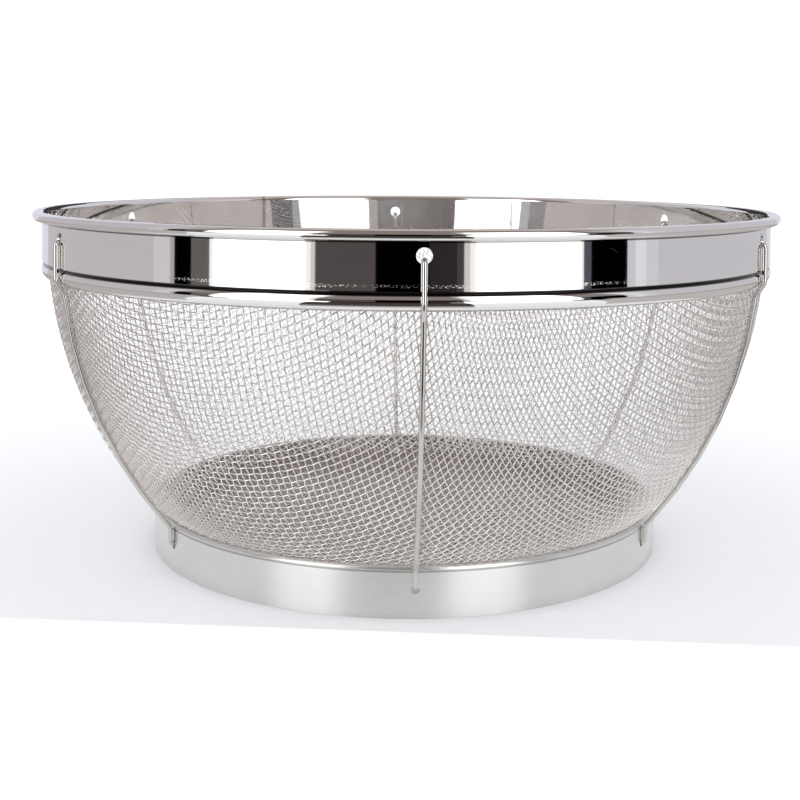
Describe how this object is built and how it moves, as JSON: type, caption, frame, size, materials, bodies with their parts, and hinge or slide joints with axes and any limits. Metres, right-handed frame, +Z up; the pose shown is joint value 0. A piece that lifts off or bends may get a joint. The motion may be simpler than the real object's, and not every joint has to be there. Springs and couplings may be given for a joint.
{
  "type": "basket strainer",
  "caption": "Round kitchen basket strainer with a woven wire bowl in a rolled steel rim band, standing on a base ring and tied by bent wire ribs.",
  "frame": {"origin": "centre of the base ring's lower edge, on the surface the basket stands on", "axes": "+Z up along the bowl's axis, out of its mouth; -Y towards the first rib wire; +X to the right seen from there"},
  "size_m": [0.28, 0.28, 0.1305],
  "materials": {
    "polished_band": "mirror-polished stainless sheet",
    "inner_wire": "drawn stainless wire",
    "woven_mesh": "bright drawn stainless wire, plain weave",
    "satin_ring": "satin stainless sheet",
    "rib_wire": "bright stainless wire"
  },
  "bodies": {
    "root": {"rim_band": "polished_band", "rim_core_wire": "inner_wire", "mesh_edge_ring": "inner_wire", "mesh_bowl": "woven_mesh", "base_ring": "satin_ring", "rib_1": "rib_wire", "rib_2": "rib_wire", "rib_3": "rib_wire", "rib_4": "rib_wire", "rib_5": "rib_wire", "rib_6": "rib_wire"}
  },
  "joints": []
}
